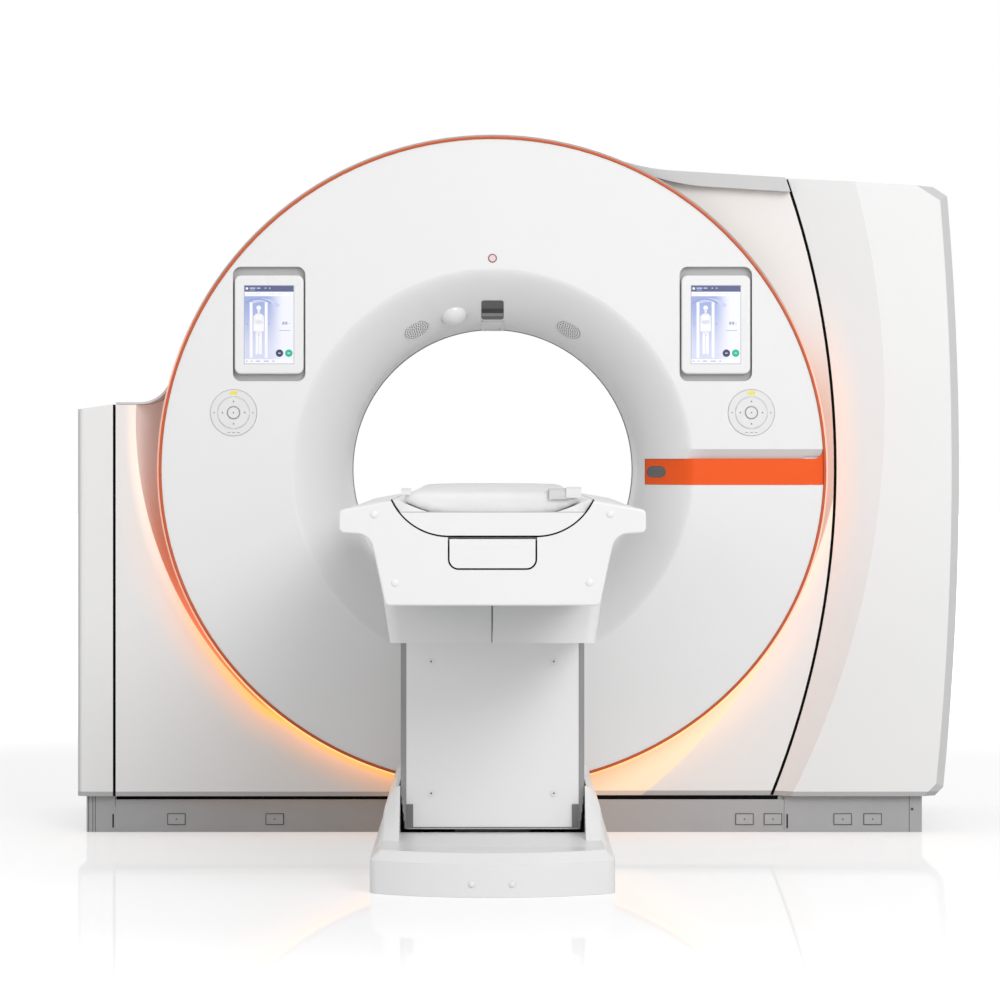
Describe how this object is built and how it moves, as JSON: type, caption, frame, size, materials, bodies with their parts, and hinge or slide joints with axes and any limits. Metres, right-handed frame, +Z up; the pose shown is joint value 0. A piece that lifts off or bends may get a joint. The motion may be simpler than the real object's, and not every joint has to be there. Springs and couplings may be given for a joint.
{
  "type": "computed tomography scanner",
  "caption": "Ring-shaped X-ray scanner with a scooped, amber-lit front disc, a rotor in its bore housing and a lifting patient table that slides into the bore.",
  "frame": {"origin": "on the floor under the middle of the bore, in the scan plane", "axes": "+Z up, +Y along the bore from the patient's side to the rear, +X to the right seen from the table's end"},
  "size_m": [2.474, 3.17, 1.9548],
  "materials": {
    "disc_white": "smooth satin gloss",
    "accent_orange": "satin gloss",
    "light_amber": "translucent, lit from inside",
    "channel_white": "satin",
    "cover_grey": "satin",
    "cover_white": "smooth satin gloss",
    "rear_white": "smooth satin gloss",
    "liner_grey": "satin",
    "plinth_grey": "fine texture",
    "access_grey": "fine texture",
    "band_orange": "gloss",
    "window_dark": "dark filter glass",
    "tablet_white": "satin",
    "screen_glass": "lit display",
    "pad_white": "satin membrane",
    "rocker_white": "satin",
    "button_grey": "satin",
    "lamp_red": "tinted lens",
    "dome_white": "smooth dome",
    "grille_white": "perforated",
    "rotor_steel": "machined and painted",
    "tube_housing": "satin paint",
    "collimator_steel": "brushed",
    "detector_alloy": "anodised",
    "module_grey": "satin paint",
    "module_dark": "satin paint",
    "weight_iron": "rough cast",
    "slip_brass": "polished tracks",
    "bearing_steel": "ground",
    "stand_grey": "satin paint",
    "motor_black": "semi-matt paint",
    "pulley_alloy": "turned",
    "belt_rubber": "matt",
    "frame_steel": "satin paint",
    "foot_white": "smooth satin gloss",
    "plate_steel": "satin paint",
    "column_steel": "ground",
    "panel_white": "smooth satin gloss",
    "strip_grey": "satin paint",
    "cylinder_black": "gloss paint",
    "rod_chrome": "polished",
    "table_white": "smooth satin gloss",
    "flap_white": "smooth satin gloss",
    "shell_white": "smooth satin gloss",
    "tabletop_white": "smooth coated laminate",
    "end_cap_white": "smooth satin gloss",
    "mattress_vinyl": "soft coated cloth"
  },
  "bodies": {
    "stand": {"front_cover": "disc_white", "accent_ring": "accent_orange", "light_ring": "light_amber", "light_channel": "channel_white", "top_cover": "cover_grey", "left_front_cover": "cover_white", "right_front_cover": "cover_white", "left_side_cover": "cover_white", "right_side_cover": "cover_white", "rear_cover": "rear_white", "bore_liner": "liner_grey", "left_plinth": "plinth_grey", "right_plinth": "plinth_grey", "middle_plinths": "plinth_grey", "access_plates": "access_grey", "side_band": "band_orange", "laser_windows": "window_dark", "left_tablet": "tablet_white", "right_tablet": "tablet_white", "tablet_screens": "screen_glass", "pad_plates": "pad_white", "indicator_lamp": "lamp_red", "sensor_dome": "dome_white", "speaker_grilles": "grille_white", "bearing_outer_ring": "bearing_steel", "bearing_stand": "stand_grey", "drive_motor": "motor_black", "drive_belt": "belt_rubber", "gantry_base_frame": "frame_steel", "table_foot_cover": "foot_white", "table_floor_plate": "plate_steel", "fixed_column": "column_steel", "lift_cylinders": "cylinder_black"},
    "rotor": {"rotor_drum": "rotor_steel", "xray_tube": "tube_housing", "collimator": "collimator_steel", "detector_arc": "detector_alloy", "generator": "module_grey", "heat_exchanger": "module_dark", "counterweights": "weight_iron", "slip_ring": "slip_brass", "bearing_inner_ring": "bearing_steel"},
    "pulley": {"motor_pulley": "pulley_alloy"},
    "middle_stage": {"column_sleeve": "column_steel", "pedestal_panel": "panel_white", "pedestal_side_plates": "strip_grey"},
    "table": {"table_frame": "frame_steel", "front_cowl": "table_white", "side_rails": "table_white", "left_lower_shell": "shell_white", "right_lower_shell": "shell_white", "lift_rods": "rod_chrome"},
    "tabletop_group": {"tabletop": "tabletop_white", "tabletop_end_cap": "end_cap_white", "mattress": "mattress_vinyl"},
    "flap": {"release_flap": "flap_white"},
    "left_button": {"left_centre_button": "button_grey"},
    "right_button": {"right_centre_button": "button_grey"},
    "left_rocker": {"left_rocker_ring": "rocker_white"},
    "right_rocker": {"right_rocker_ring": "rocker_white"}
  },
  "joints": [
    {"name": "rotor_spin", "type": "hinge", "parent": "stand", "child": "rotor", "pos_m": [0, 0, 1.017], "axis": [0, 1, 0], "continuous": true},
    {"name": "motor_spin", "type": "hinge", "parent": "stand", "child": "pulley", "pos_m": [-0.83, 0, 0.33], "axis": [0, 1, 0], "continuous": true},
    {"name": "table_lift", "type": "slide", "parent": "stand", "child": "table", "axis": [0, 0, 1], "range_m": [-0.32, 0.04]},
    {"name": "stage_slide", "type": "slide", "parent": "stand", "child": "middle_stage", "axis": [0, 0, 1], "range_m": [-0.104, 0.013]},
    {"name": "tabletop_slide", "type": "slide", "parent": "table", "child": "tabletop_group", "axis": [0, 1, 0], "range_m": [0, 1.75]},
    {"name": "flap_hinge", "type": "hinge", "parent": "table", "child": "flap", "pos_m": [0, -2.735, 0.865], "axis": [-1, 0, 0], "range_deg": [0, 25]},
    {"name": "left_button_press", "type": "slide", "parent": "stand", "child": "left_button", "axis": [0, 1, 0], "range_m": [0, 0.0015], "stiffness_N_per_m": 2000},
    {"name": "left_rocker_press", "type": "slide", "parent": "stand", "child": "left_rocker", "axis": [0, 1, 0], "range_m": [0, 0.0015], "stiffness_N_per_m": 2000},
    {"name": "right_button_press", "type": "slide", "parent": "stand", "child": "right_button", "axis": [0, 1, 0], "range_m": [0, 0.0015], "stiffness_N_per_m": 2000},
    {"name": "right_rocker_press", "type": "slide", "parent": "stand", "child": "right_rocker", "axis": [0, 1, 0], "range_m": [0, 0.0015], "stiffness_N_per_m": 2000}
  ],
  "couplings": [
    {"joint": "motor_spin", "follows": "rotor_spin", "ratio": 10.466},
    {"joint": "stage_slide", "follows": "table_lift", "ratio": 0.325}
  ]
}
